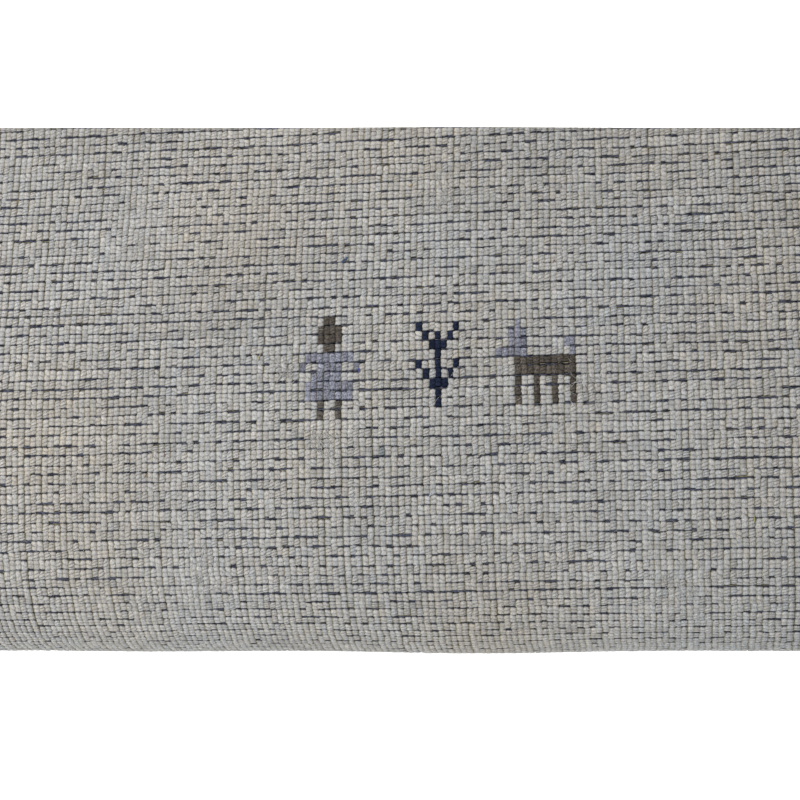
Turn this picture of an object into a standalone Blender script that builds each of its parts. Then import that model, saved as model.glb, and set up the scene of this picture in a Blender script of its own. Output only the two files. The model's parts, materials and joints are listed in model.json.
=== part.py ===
"""Gabbeh rug: a cut length of knotted wool, folded over once with its back outside.

Metres, +Z up. The roll of the fold faces -Y, the weft runs along X, and the lower layer lies
flat on z = 0. The upper layer comes back over it and settles just above its far end.
The origin is the bottom centre of the bounding box.
"""

import math

import bmesh
import bpy
import numpy as np

# The cloth
WIDTH = 0.540                # along the weft
THICKNESS = 0.015            # knotted ground and the pressed pile under it
EDGE_WAVE = 0.0010           # how far the selvedge sides wander
SWELL = 0.0012               # how far the folded layer rises and falls along its width

# The cut at the end of the upper layer slants a little across the rows
UPPER_CUT_SLANT = -0.0397    # metres of length per metre of width

# The fold, read from the lower layer's far edge to the upper layer's far edge.
# Each row is a run of cloth: what it is, its length, the curvature (1/m) that it reaches
# at its end, and the rows of faces that it is given.
RUNS = (
    ("lower layer, flat", 0.244, 0.0, 7),
    ("lifts from the floor", 0.030, 15.0, 4),
    ("underside of the roll", 0.070, 18.0, 8),
    ("front of the roll", 0.030, 16.0, 4),
    ("above the front", 0.048, 15.0, 6),
    ("shoulder", 0.022, 12.0, 3),
    ("shoulder eases", 0.014, 8.0, 2),
    ("crown", 0.016, 4.4, 2),
    ("behind the crown", 0.030, 2.8, 3),
    ("upper layer slopes away", 0.080, 2.1, 5),
    ("upper layer straightens", 0.080, 0.4, 4),
    ("upper layer settles", 0.045, -1.5, 2),
    ("far edge of the upper layer", 0.0326, -3.3, 2),
)
COLUMNS = 14                 # faces across the width
STEP = 0.0005                # step of the sum along the fold

LENGTH = sum(run[1] for run in RUNS)
LIFT_START = RUNS[0][1]
NODE = "rug_cloth"


def fold_line():
    """Length, place (y, z) and heading along the middle of the outer face.

    The heading is 0 along -Y on the floor, a quarter turn at the front of the roll and
    half a turn on the crown.
    """
    ends = np.cumsum([0.0] + [run[1] for run in RUNS])
    bends = [0.0] + [run[2] for run in RUNS]
    reach = 0.5 * abs(UPPER_CUT_SLANT) * WIDTH + 0.002
    along = np.arange(0.0, LENGTH + reach, STEP)
    heading = np.cumsum(np.interp(along, ends, bends)) * STEP
    y = -np.cumsum(np.cos(heading)) * STEP
    z = np.cumsum(np.sin(heading)) * STEP
    return along, y, z, heading


def face_rows():
    """Share of the grid and share of the length at the end of each run."""
    counts = np.cumsum([0] + [run[3] for run in RUNS])
    ends = np.cumsum([0.0] + [run[1] for run in RUNS])
    return counts / counts[-1], ends / ends[-1], int(counts[-1])


def swell(along, x):
    """Small rise and fall of the folded layer, none on the floor."""
    grip = min(max((along - LIFT_START) / 0.12, 0.0), 1.0) ** 2
    wave = 0.6 * math.sin(2 * math.pi * (x / 0.47 + 0.13))
    wave += 0.4 * math.sin(2 * math.pi * (x / 0.21 + along / 0.36))
    return SWELL * grip * wave


def edge_wave(along, side):
    """Sideways wander of a selvedge; side is -1 at the left edge and 1 at the right."""
    wave = math.sin(2 * math.pi * (along / 0.23 + 0.2 * side))
    return EDGE_WAVE * wave * abs(side) ** 6


def fold_sheet(bm):
    """Move the flat grid's points onto the folded outer face."""
    line, line_y, line_z, line_heading = fold_line()
    grid_share, length_share, _ = face_rows()
    for vert in bm.verts:
        across = vert.co.x * 2.0
        plain = LENGTH * float(np.interp(vert.co.y + 0.5, grid_share, length_share))
        x = across * WIDTH / 2 + edge_wave(plain, across)
        lifted = max(plain - LIFT_START, 0.0) / (LENGTH - LIFT_START)
        along = plain + lifted * UPPER_CUT_SLANT * x
        heading = float(np.interp(along, line, line_heading))
        out = swell(along, x)
        vert.co = (
            x,
            float(np.interp(along, line, line_y)) - math.sin(heading) * out,
            float(np.interp(along, line, line_z)) - math.cos(heading) * out,
        )


def centre_on_floor(bm):
    """Put the bounding box's middle over the origin, with the flat layer on z = 0."""
    low = min(vert.co.y for vert in bm.verts)
    high = max(vert.co.y for vert in bm.verts)
    for vert in bm.verts:
        vert.co.y -= (low + high) / 2
        if abs(vert.co.z) < 1e-5:
            vert.co.z = 0.0


def wool_material():
    """Back of a wool pile rug: matt, warm grey."""
    material = bpy.data.materials.new("wool_back")
    material.use_nodes = True
    shader = material.node_tree.nodes["Principled BSDF"]
    shader.inputs["Base Color"].default_value = (0.33, 0.32, 0.31, 1.0)
    shader.inputs["Roughness"].default_value = 0.95
    shader.inputs["Metallic"].default_value = 0.0
    return material


def rug_cloth():
    """The cloth as one sheet: warp, weft, knots and pile are woven as one piece."""
    mesh = bpy.data.meshes.new(NODE)
    bm = bmesh.new()
    rows = face_rows()[2]
    bmesh.ops.create_grid(bm, x_segments=COLUMNS, y_segments=rows, size=0.5)
    fold_sheet(bm)
    centre_on_floor(bm)
    bm.to_mesh(mesh)
    bm.free()
    mesh.shade_smooth()
    mesh.materials.append(wool_material())
    cloth = bpy.data.objects.new(NODE, mesh)
    thick = cloth.modifiers.new("cloth thickness", "SOLIDIFY")
    thick.thickness = THICKNESS
    thick.offset = -1.0
    thick.use_even_offset = True
    thick.use_rim = True
    return cloth


def main():
    for old in list(bpy.data.objects):
        bpy.data.objects.remove(old, do_unlink=True)
    collection = bpy.data.collections.new("gabbeh_rug")
    bpy.context.scene.collection.children.link(collection)
    collection.objects.link(rug_cloth())


main()
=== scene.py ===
"""Looks of the folded gabbeh: knotted back, weft floats, pile, cut edges, floor and light.

The cloth lies as its solid does: the lower layer flat on the floor, a soft roll facing -Y, and
the upper layer sloping away from it with its knotted back on top.
"""

import json
import logging
import math
from dataclasses import dataclass, field
from enum import Enum
from typing import Any, Callable, Sequence

import bmesh
import bpy
import numpy as np
from mathutils import Matrix, Vector

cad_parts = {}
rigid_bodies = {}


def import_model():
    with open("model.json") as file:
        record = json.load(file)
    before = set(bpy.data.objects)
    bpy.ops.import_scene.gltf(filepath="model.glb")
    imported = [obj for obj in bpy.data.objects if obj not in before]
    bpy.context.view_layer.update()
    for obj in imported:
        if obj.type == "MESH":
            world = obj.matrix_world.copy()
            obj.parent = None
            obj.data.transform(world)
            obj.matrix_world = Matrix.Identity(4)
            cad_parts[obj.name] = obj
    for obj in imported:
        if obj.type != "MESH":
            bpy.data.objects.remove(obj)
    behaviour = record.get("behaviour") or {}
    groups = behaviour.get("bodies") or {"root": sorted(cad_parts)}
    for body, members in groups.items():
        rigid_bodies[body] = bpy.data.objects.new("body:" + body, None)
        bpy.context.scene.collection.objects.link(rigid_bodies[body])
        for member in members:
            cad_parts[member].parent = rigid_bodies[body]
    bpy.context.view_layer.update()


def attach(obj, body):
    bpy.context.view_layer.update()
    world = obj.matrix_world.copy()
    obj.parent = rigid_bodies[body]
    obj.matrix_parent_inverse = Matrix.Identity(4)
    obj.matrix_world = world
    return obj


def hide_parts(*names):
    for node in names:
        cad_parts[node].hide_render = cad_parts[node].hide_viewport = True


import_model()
LOG = logging.getLogger("gabbeh")
NODE = "rug_cloth"
MM = 0.001


class Yarn(Enum):
    """Dyed and undyed wools that the knots are tied in, as sRGB hex."""

    FIELD = "#B9B7B4"
    NAVY = "#232A3F"
    WEFT = "#0F1428"
    HAZED_WEFT = "#7C808E"
    BROWN = "#5B554F"
    LEG = "#66615B"
    LILAC = "#9193A1"


def linear(hex_colour: str) -> np.ndarray:
    """Turn an sRGB hex colour into linear light.

    Args:
        hex_colour: Colour as "#RRGGBB".

    Returns:
        Red, green and blue between 0 and 1.
    """
    parts = np.array([int(hex_colour[i:i + 2], 16) for i in (1, 3, 5)]) / 255.0
    return np.where(parts <= 0.04045, parts / 12.92, ((parts + 0.055) / 1.055) ** 2.4)


def rgba(hex_colour: str) -> tuple[float, float, float, float]:
    """Give a hex colour as a shader socket takes it."""
    red, green, blue = (float(v) for v in linear(hex_colour))
    return red, green, blue, 1.0


def add_node(tree: bpy.types.NodeTree, kind: str, inputs: dict[Any, Any] | None = None,
             **settings: Any) -> bpy.types.Node:
    """Add a node, set its properties, and set or link its inputs.

    Args:
        tree: Shader or geometry tree.
        kind: Node type's identifier.
        inputs: Input name or index against a value, or a socket to link from.
        **settings: Properties of the node.

    Returns:
        The new node.
    """
    node = tree.nodes.new(kind)
    for name, value in settings.items():
        setattr(node, name, value)
    for key, value in (inputs or {}).items():
        if isinstance(value, bpy.types.NodeSocket):
            tree.links.new(value, node.inputs[key])
        else:
            node.inputs[key].default_value = value
    return node


def drift(rng: np.random.Generator, shape: tuple[int, int],
          reach: tuple[float, float]) -> np.ndarray:
    """Smooth random field with unit spread.

    Args:
        rng: Seeded random source.
        shape: Rows and columns.
        reach: How many rows and columns a patch spans.

    Returns:
        The field, about -2 to 2.
    """
    pads = [int(3 * r) + 1 for r in reach]
    values = rng.normal(size=(shape[0] + 2 * pads[0], shape[1] + 2 * pads[1]))
    for axis, (r, pad) in enumerate(zip(reach, pads)):
        offsets = np.arange(-pad, pad + 1)
        kernel = np.exp(-0.5 * (offsets / max(r, 0.05)) ** 2)
        kernel /= kernel.sum()
        values = np.apply_along_axis(lambda line: np.convolve(line, kernel, mode="valid"), axis,
                                     values)
    return (values - values.mean()) / max(float(values.std()), 1e-9)


@dataclass(frozen=True)
class Run:
    """A run of cloth along the fold.

    Attributes:
        name: What the run is.
        length: Metres of cloth.
        bend: Curvature, in 1/m, that it reaches at its end.
    """

    name: str
    length: float
    bend: float


@dataclass
class Fold:
    """Shape in which the cloth lies, read along its outer face.

    Attributes:
        width: Cloth's width along the weft.
        thickness: Whole cloth, knotted ground and pile; not used.
        slant: Slant of the upper layer's cut, metres along per metre across.
        swell: Small rise and fall of the folded layer.
        edge_wave: Wander of the sides.
    """

    width: float = 0.540
    thickness: float = 0.015
    slant: float = -0.0397
    swell: float = 0.0012
    edge_wave: float = 0.0010
    runs: tuple[Run, ...] = (
        Run("lower layer, flat", 0.244, 0.0),
        Run("lifts from the floor", 0.030, 15.0),
        Run("underside of the roll", 0.070, 18.0),
        Run("front of the roll", 0.030, 16.0),
        Run("above the front", 0.048, 15.0),
        Run("shoulder", 0.022, 12.0),
        Run("shoulder eases", 0.014, 8.0),
        Run("crown", 0.016, 4.4),
        Run("behind the crown", 0.030, 2.8),
        Run("upper layer slopes away", 0.080, 2.1),
        Run("upper layer straightens", 0.080, 0.4),
        Run("upper layer settles", 0.045, -1.5),
        Run("far edge of the upper layer", 0.0326, -3.3),
    )

    def __post_init__(self) -> None:
        """Sum the bends into a line and centre it over the origin."""
        step = 0.0005
        ends = np.cumsum([0.0] + [run.length for run in self.runs])
        self.length = float(ends[-1])
        self.lift = self.runs[0].length
        self.steps = np.arange(0.0, self.length + 0.5 * abs(self.slant) * self.width + 0.002, step)
        self.heading = np.cumsum(np.interp(self.steps, ends,
                                           [0.0] + [run.bend for run in self.runs])) * step
        self.line_y = -np.cumsum(np.cos(self.heading)) * step
        self.line_z = np.cumsum(np.sin(self.heading)) * step
        self.shift = 0.0
        across, share = np.meshgrid(np.linspace(-self.width / 2, self.width / 2, 15),
                                    np.linspace(0, 1, 400))
        along = share * self.end_at(across)
        reach = self.lay(along.ravel(), across.ravel())[:, 1]
        self.shift = -0.5 * float(reach.min() + reach.max())

    def end_at(self, x: np.ndarray) -> np.ndarray:
        """Length along the cloth at which its far cut lies."""
        return self.length + self.slant * np.asarray(x)

    def swell_at(self, along: np.ndarray, x: np.ndarray) -> np.ndarray:
        """Rise of the folded layer over its plain shape."""
        grip = np.clip((along - self.lift) / 0.12, 0.0, 1.0) ** 2
        wave = 0.6 * np.sin(2 * np.pi * (x / 0.47 + 0.13)) + 0.4 * np.sin(2 * np.pi
                                                                          * (x / 0.21
                                                                             + along / 0.36))
        return self.swell * grip * wave

    def side_wave(self, along: np.ndarray, side: np.ndarray) -> np.ndarray:
        """Sideways wander, growing towards the sides."""
        return self.edge_wave * np.sin(2 * np.pi * (along / 0.23 + 0.2 * side)) * np.abs(side) ** 6

    def lay(self, along: np.ndarray, x: np.ndarray, out: np.ndarray | float = 0.0) -> np.ndarray:
        """Place points of the cloth.

        Args:
            along: Length from the lower layer's far edge.
            x: Place across the cloth.
            out: Height over the outer face, negative inside the cloth.

        Returns:
            Points as an N by 3 array.
        """
        heading = np.interp(along, self.steps, self.heading)
        rise = self.swell_at(along, x) + out
        y = np.interp(along, self.steps, self.line_y) - np.sin(heading) * rise + self.shift
        z = np.interp(along, self.steps, self.line_z) - np.cos(heading) * rise
        return np.stack([x, y, z], axis=-1)

    def directions(self, along: np.ndarray, x: np.ndarray) -> tuple[np.ndarray, np.ndarray]:
        """Outward and lengthwise directions of the cloth.

        Args:
            along: Length from the lower layer's far edge.
            x: Place across the cloth.

        Returns:
            Unit outward vectors, and unit vectors towards a growing length.
        """
        small = 0.002
        forward = self.lay(along + small, x) - self.lay(along - small, x)
        sideways = self.lay(along, x + small) - self.lay(along, x - small)
        outward = np.cross(sideways, forward)
        forward /= np.linalg.norm(forward, axis=1, keepdims=True)
        outward /= np.linalg.norm(outward, axis=1, keepdims=True)
        return outward, forward


@dataclass(frozen=True)
class Chart:
    """A small woven figure, charted knot by knot like any rug chart.

    Attributes:
        name: What it shows.
        column: Knot column of the chart's first place.
        row: Knot row of its first line.
        lines: One text a row; a letter is a knot of that yarn and a dot is the field.
    """

    name: str
    column: int
    row: int
    lines: tuple[str, ...]


YARN_OF = {"n": Yarn.NAVY, "b": Yarn.BROWN, "g": Yarn.LEG, "l": Yarn.LILAC}

CHARTS = (
    Chart("shepherd", 50, 23, (
        "....bb....",
        "...bbbb...",
        "...bbbb...",
        "....bb....",
        ".llllllll.",
        "l..llll..l",
        "..lllll...",
        ".llllllll.",
        ".llllllll.",
        "...g..g...",
        "...g..g...",
    )),
    Chart("sapling", 69, 24, (
        "n.....n",
        ".n.n.n.",
        "..nnn..",
        "...n...",
        "n..n..n",
        ".n.n.n.",
        "..nnn..",
        "...n...",
        "...n...",
    )),
    Chart("goat", 82, 24, (
        "...l.........",
        "..lll........",
        "..lll......ll",
        "lllll.......l",
        "...bbbbbbbbbb",
        "...bbbbbbbbbb",
        "...b..b..b..b",
        "...b..b..b..b",
        "...b..b..b..b",
    )),
)


@dataclass
class Weave:
    """Grid of knots: columns on the warps, rows between the wefts.

    Attributes:
        column_pitch: From warp to warp.
        row_pitch: From weft to weft.
        row_zero: Length along the cloth of row 0, whose rows count towards the roll.
        column_zero: Column over the middle of the cloth.
        skew: Turn of the weft against the fold.
        felt: Column, row and reach in knots of each patch where loose wool hides the seams.
        seed: Seed of the loom's unevenness.
    """

    column_pitch: float = 0.00375
    row_pitch: float = 0.0060
    row_zero: float = 0.74794
    column_zero: float = 64.35
    skew: float = math.radians(-0.584)
    first_row: int = -2
    last_row: int = 126
    first_column: int = -9
    last_column: int = 139
    felt: tuple[tuple[float, float, float], ...] = (
        (47.5, 28.2, 1.0), (53.5, 36.0, 1.0), (20.0, 12.0, 2.4), (96.0, 30.5, 1.3),
        (33.0, 49.0, 1.8), (110.0, 52.0, 2.0), (72.0, 9.0, 1.6),
    )
    seed: int = 11

    def __post_init__(self) -> None:
        """Draw the loom's unevenness once, so every layer reads the same."""
        rng = np.random.default_rng(self.seed)
        self.rows = self.last_row - self.first_row
        self.columns = self.last_column - self.first_column
        shape = (self.rows + 1, self.columns + 1)
        self.column_shift = 0.055 * drift(rng, shape, (9.0, 0.1)) + 0.05 * drift(rng, shape,
                                                                                 (0.1, 3.0))
        self.seam_shift = 0.06 * drift(rng, shape, (0.1, 12.0)) + 0.035 * drift(rng, shape,
                                                                                (0.1, 0.7))
        single = rng.normal(size=shape)
        short = drift(rng, shape, (0.1, 1.3))
        long = drift(rng, shape, (0.1, 9.0))
        row_mood = drift(rng, shape, (0.3, 60.0))
        patch = drift(rng, shape, (4.0, 7.0))
        level = 1.0 * single + 0.10 * short + 0.05 * long + 0.21 * row_mood - 0.10 * patch
        row, column = np.mgrid[self.first_row:self.last_row + 1,
                               self.first_column:self.last_column + 1]
        for middle, line, reach in self.felt:
            level -= 2.0 * np.exp(-(((column - middle) / (1.4 * reach)) ** 2
                                    + ((row - line) / reach) ** 2) / 2)
        self.opening = np.clip(0.5 + 0.26 * level, 0.0, 1.0)

    def place(self, column: np.ndarray, row: np.ndarray) -> tuple[np.ndarray, np.ndarray]:
        """Turn knot columns and rows into places on the cloth.

        Args:
            column: Knot columns, which may be fractional.
            row: Knot rows, which may be fractional.

        Returns:
            Length along the cloth, and place across it.
        """
        wander = 0.30 * np.sin(2 * np.pi * (column - 66.0) / 70.0)
        side = (column - self.column_zero + wander) * self.column_pitch
        down = -row * self.row_pitch
        along = self.row_zero + down * math.cos(self.skew) - side * math.sin(self.skew)
        return along, side * math.cos(self.skew) + down * math.sin(self.skew)

    def read(self, along: np.ndarray, x: np.ndarray) -> tuple[np.ndarray, np.ndarray]:
        """Turn places on the cloth back into knot columns and rows, leaving out the warps' wander.

        Args:
            along: Length along the cloth.
            x: Place across it.

        Returns:
            Columns and rows, fractional.
        """
        down = self.row_zero - along
        row = (down * math.cos(self.skew) - x * math.sin(self.skew)) / self.row_pitch
        side = down * math.sin(self.skew) + x * math.cos(self.skew)
        return side / self.column_pitch + self.column_zero, row

    def cells(self, first: int, last: int) -> tuple[np.ndarray, np.ndarray]:
        """Columns and rows of the knots of a band of rows, as flat index arrays."""
        row, column = np.mgrid[first:last, self.first_column:self.last_column]
        return column.ravel(), row.ravel()

    def look_up(self, values: np.ndarray, column: np.ndarray, row: np.ndarray) -> np.ndarray:
        """Read a field of the loom at whole columns and rows."""
        return values[row - self.first_row, column - self.first_column]


@dataclass(frozen=True)
class KnotWool:
    """Hand-spun wool, knotted and packed by the reed: matt, soft-edged, flecked along the ply.

    Its crest takes the light, and painted shade darkens the grooves between its plies and at its
    ends;
    its ends also take the navy weft's fibres with painted seam shade, and its sides go tan where
    the warp shows through.
    """

    name: str = "knotted_wool"
    warp: str = "#989077"
    roughness: float = 0.93
    fibre_mm: float = 0.9
    seam_tan: float = 0.62
    # navy weft fibres with painted seam shade at the knot's ends: their strength and their colour
    # factor
    seam_blue_and_shade: float = 0.7
    weft_stain_and_seam_shade: tuple[float, float, float] = (0.58, 0.62, 0.80)
    # share of the colour left in the painted shade of the ply grooves
    groove: float = 0.80
    ply_mm: float = 0.7

    def build(self) -> bpy.types.Material:
        """Make the material."""
        material = bpy.data.materials.new(self.name)
        material.use_nodes = True
        tree = material.node_tree
        shader = tree.nodes["Principled BSDF"]
        place = add_node(tree, "ShaderNodeTexCoord").outputs["Object"]
        yarn = add_node(tree, "ShaderNodeAttribute", attribute_name="yarn").outputs
        dye, streak = yarn["Color"], yarn["Alpha"]
        cell = add_node(tree, "ShaderNodeAttribute", attribute_name="cell").outputs["Vector"]
        # 0.9 mm flecks are wool's fibre bundles, drawn coarser than life so that they show
        drawn = add_node(tree, "ShaderNodeVectorMath", {0: place, 1: (1.45, 0.85, 1.0)},
                         operation="MULTIPLY").outputs[0]
        fleck = add_node(tree, "ShaderNodeTexNoise",
                         {"Vector": drawn, "Scale": 1 / (self.fibre_mm * MM), "Detail": 2.0,
                          "Roughness": 0.6}).outputs["Fac"]
        blotch = add_node(tree, "ShaderNodeTexNoise",
                          {"Vector": place, "Scale": 1 / (3.0 * MM), "Detail": 1.0}).outputs["Fac"]
        parts = add_node(tree, "ShaderNodeSeparateXYZ", {0: cell})
        reach = add_node(tree, "ShaderNodeAttribute", attribute_name="reach").outputs["Fac"]
        end = add_node(tree, "ShaderNodeMath", {0: reach}, operation="ABSOLUTE").outputs[0]
        # painted seam shade with the weft's navy fibres, strongest at the knot's two ends
        weft_and_seam_shade_mix = add_node(tree, "ShaderNodeMapRange",
                            {"Value": end, "From Min": 0.66, "From Max": 0.94, "To Min": 0.0,
                             "To Max": self.seam_blue_and_shade}, interpolation_type="SMOOTHSTEP").outputs[0]
        side = add_node(tree, "ShaderNodeMath", {0: parts.outputs["X"]},
                        operation="ABSOLUTE").outputs[0]
        warp_mix = add_node(tree, "ShaderNodeMapRange",
                            {"Value": side, "From Min": 0.36, "From Max": 0.78, "To Min": 0.0,
                             "To Max": self.seam_tan}, interpolation_type="SMOOTHSTEP").outputs[0]
        # each ply is a round strand: a half wave in height, with painted shade darkening the groove
        # beside it
        turn = add_node(tree, "ShaderNodeMath", {0: parts.outputs["Y"], 1: math.pi},
                        operation="MULTIPLY").outputs[0]
        wave = add_node(tree, "ShaderNodeMath", {0: turn}, operation="SINE").outputs[0]
        half = add_node(tree, "ShaderNodeMath", {0: wave}, operation="ABSOLUTE").outputs[0]
        strand = add_node(tree, "ShaderNodeMath", {0: half, 1: 0.6}, operation="POWER").outputs[0]
        # painted shade: the colour falls to `groove` of itself in the grooves between plies and at
        # the knot's ends
        lit = add_node(tree, "ShaderNodeMapRange",
                       {"Value": strand, "From Min": 0.0, "From Max": 0.85, "To Min": self.groove,
                        "To Max": 1.0}).outputs[0]
        # pale and dark fibres carded together: -1 to 1, and the dyed yarns took it unevenly
        carded = add_node(tree, "ShaderNodeMapRange",
                          {"Value": fleck, "From Min": 0.3, "From Max": 0.72, "To Min": -1.0,
                           "To Max": 1.0}).outputs[0]
        value = add_node(tree, "ShaderNodeMath", {0: carded, 1: streak, 2: 1.01},
                         operation="MULTIPLY_ADD").outputs[0]
        value = add_node(tree, "ShaderNodeMath", {0: blotch, 1: 0.16, 2: value},
                         operation="MULTIPLY_ADD").outputs[0]
        value = add_node(tree, "ShaderNodeMath", {0: value, 1: 0.08},
                         operation="SUBTRACT").outputs[0]
        value = add_node(tree, "ShaderNodeMath", {0: value, 1: lit},
                         operation="MULTIPLY").outputs[0]
        # and each ply took the dye a little differently
        value = add_node(tree, "ShaderNodeMath", {0: value, 1: parts.outputs["Z"]},
                         operation="MULTIPLY").outputs[0]
        bright = add_node(tree, "ShaderNodeVectorMath", {0: dye, "Scale": value},
                          operation="SCALE").outputs[0]
        worn = add_node(tree, "ShaderNodeVectorMath",
                        {0: dye,
                         1: tuple(float(v) for v in linear(self.warp) / linear(Yarn.FIELD.value))},
                         operation="MULTIPLY").outputs[0]
        colour = add_node(tree, "ShaderNodeMix", {"Factor": warp_mix, 6: bright, 7: worn},
                          data_type="RGBA").outputs[2]
        # fibres of the navy weft cling to the two ends of each knot, and the darkening there is
        # also painted shade of the row seam
        inked_and_shaded = add_node(tree, "ShaderNodeVectorMath", {0: colour, 1: self.weft_stain_and_seam_shade},
                         operation="MULTIPLY").outputs[0]
        colour = add_node(tree, "ShaderNodeMix", {"Factor": weft_and_seam_shade_mix, 6: colour, 7: inked_and_shaded},
                          data_type="RGBA").outputs[2]
        height = add_node(tree, "ShaderNodeMath", {0: fleck, 1: 0.55, 2: strand},
                          operation="MULTIPLY_ADD").outputs[0]
        bump = add_node(tree, "ShaderNodeBump",
                        {"Height": height, "Strength": 1.0,
                         "Distance": self.ply_mm * MM}).outputs[0]
        tree.links.new(colour, shader.inputs["Base Color"])
        tree.links.new(colour, shader.inputs["Sheen Tint"])
        tree.links.new(bump, shader.inputs["Normal"])
        shader.inputs["Roughness"].default_value = self.roughness
        shader.inputs["Sheen Weight"].default_value = 0.2
        shader.inputs["Sheen Roughness"].default_value = 0.5
        shader.inputs["Specular IOR Level"].default_value = 0.1
        return material


@dataclass(frozen=True)
class GroundWool:
    """Woven ground under the knots: tan warp with navy weft between the rows.

    Only the seams between knots let it show, as thin tan lines and broken navy ones.
    """

    name: str = "woven_ground"
    warp: str = "#8A8166"
    weft: str = "#555A6C"
    roughness: float = 0.95

    def build(self) -> bpy.types.Material:
        """Make the material."""
        material = bpy.data.materials.new(self.name)
        material.use_nodes = True
        tree = material.node_tree
        shader = tree.nodes["Principled BSDF"]
        place = add_node(tree, "ShaderNodeTexCoord").outputs["Object"]
        cells = add_node(tree, "ShaderNodeUVMap", uv_map="weave").outputs[0]
        row = add_node(tree, "ShaderNodeSeparateXYZ", {0: cells}).outputs["Y"]
        near = add_node(tree, "ShaderNodeMath", {0: row, 1: 0.5}, operation="PINGPONG").outputs[0]
        grain = add_node(tree, "ShaderNodeTexNoise",
                         {"Vector": place, "Scale": 1 / (0.8 * MM), "Detail": 2.0}).outputs["Fac"]
        wool = add_node(tree, "ShaderNodeTexNoise",
                        {"Vector": place, "Scale": 1 / (6.0 * MM), "Detail": 2.0}).outputs["Fac"]
        ragged = add_node(tree, "ShaderNodeMath", {0: wool, 1: 0.10, 2: near},
                          operation="MULTIPLY_ADD").outputs[0]
        mask = add_node(tree, "ShaderNodeMapRange",
                        {"Value": ragged, "From Min": 0.39, "From Max": 0.46},
                        interpolation_type="SMOOTHSTEP").outputs[0]
        mixed = add_node(tree, "ShaderNodeMix",
                         {"Factor": mask, 6: rgba(self.warp), 7: rgba(self.weft)},
                         data_type="RGBA").outputs[2]
        value = add_node(tree, "ShaderNodeMapRange",
                         {"Value": grain, "From Min": 0.3, "From Max": 0.7, "To Min": 0.7,
                          "To Max": 1.3}).outputs[0]
        colour = add_node(tree, "ShaderNodeVectorMath", {0: mixed, "Scale": value},
                          operation="SCALE").outputs[0]
        tree.links.new(colour, shader.inputs["Base Color"])
        shader.inputs["Roughness"].default_value = self.roughness
        return material


@dataclass(frozen=True)
class StrandWool:
    """Loose strands, such as weft floats, pile ends and lint: matt, fleck by fleck uneven."""

    name: str
    roughness: float = 0.95
    sheen: float = 0.12
    low: float = 0.75
    high: float = 1.25
    fibre_mm: float = 0.7

    def build(self) -> bpy.types.Material:
        """Make the material."""
        material = bpy.data.materials.new(self.name)
        material.use_nodes = True
        tree = material.node_tree
        shader = tree.nodes["Principled BSDF"]
        place = add_node(tree, "ShaderNodeTexCoord").outputs["Object"]
        dye = add_node(tree, "ShaderNodeAttribute", attribute_name="yarn").outputs["Color"]
        fleck = add_node(tree, "ShaderNodeTexNoise",
                         {"Vector": place, "Scale": 1 / (self.fibre_mm * MM), "Detail": 2.0,
                          "Roughness": 0.65}).outputs["Fac"]
        value = add_node(tree, "ShaderNodeMapRange",
                         {"Value": fleck, "From Min": 0.3, "From Max": 0.7, "To Min": self.low,
                          "To Max": self.high}).outputs[0]
        colour = add_node(tree, "ShaderNodeVectorMath", {0: dye, "Scale": value},
                          operation="SCALE").outputs[0]
        bump = add_node(tree, "ShaderNodeBump",
                        {"Height": fleck, "Strength": 0.5, "Distance": 0.2 * MM}).outputs[0]
        tree.links.new(colour, shader.inputs["Base Color"])
        tree.links.new(bump, shader.inputs["Normal"])
        shader.inputs["Roughness"].default_value = self.roughness
        shader.inputs["Sheen Weight"].default_value = self.sheen
        return material


@dataclass(frozen=True)
class PileWool:
    """Cut wool pile, pressed by the fold: plush, mottled, with painted shade between the tufts."""

    name: str = "cut_pile"
    # the tufts' wool, and the painted shade between the tufts
    light: str = "#BDB8AE"
    tuft_gap_shade: str = "#77716A"
    roughness: float = 0.97
    tuft_mm: float = 4.0

    def build(self) -> bpy.types.Material:
        """Make the material."""
        material = bpy.data.materials.new(self.name)
        material.use_nodes = True
        tree = material.node_tree
        shader = tree.nodes["Principled BSDF"]
        place = add_node(tree, "ShaderNodeTexCoord").outputs["Object"]
        tuft = add_node(tree, "ShaderNodeTexVoronoi",
                        {"Vector": place, "Scale": 1 / (self.tuft_mm * MM),
                         "Randomness": 0.9}).outputs["Distance"]
        fibre = add_node(tree, "ShaderNodeTexNoise",
                         {"Vector": place, "Scale": 1 / (0.8 * MM), "Detail": 3.0,
                          "Roughness": 0.7}).outputs["Fac"]
        # painted shade between the tufts, mottled by the fibre noise
        shade = add_node(tree, "ShaderNodeMath", {0: fibre, 1: 0.9, 2: tuft},
                         operation="MULTIPLY_ADD").outputs[0]
        mask = add_node(tree, "ShaderNodeMapRange",
                        {"Value": shade, "From Min": 0.55, "From Max": 1.25}).outputs[0]
        colour = add_node(tree, "ShaderNodeMix",
                          {"Factor": mask, 6: rgba(self.light), 7: rgba(self.tuft_gap_shade)},
                          data_type="RGBA").outputs[2]
        bump = add_node(tree, "ShaderNodeBump",
                        {"Height": shade, "Strength": 0.9, "Distance": 1.2 * MM},
                        invert=True).outputs[0]
        tree.links.new(colour, shader.inputs["Base Color"])
        tree.links.new(bump, shader.inputs["Normal"])
        shader.inputs["Roughness"].default_value = self.roughness
        shader.inputs["Sheen Weight"].default_value = 0.3
        return material


@dataclass(frozen=True)
class PaperFloor:
    """Matt white studio paper, lit from below: plain white, nearly no shadow."""

    name: str = "studio_paper"
    colour: str = "#F6F6F6"
    glow: float = 0.75

    def build(self) -> bpy.types.Material:
        """Make the material."""
        material = bpy.data.materials.new(self.name)
        material.use_nodes = True
        shader = material.node_tree.nodes["Principled BSDF"]
        shader.inputs["Base Color"].default_value = rgba(self.colour)
        shader.inputs["Emission Color"].default_value = rgba(self.colour)
        shader.inputs["Emission Strength"].default_value = self.glow
        shader.inputs["Roughness"].default_value = 1.0
        shader.inputs["Specular IOR Level"].default_value = 0.0
        return material


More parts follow.
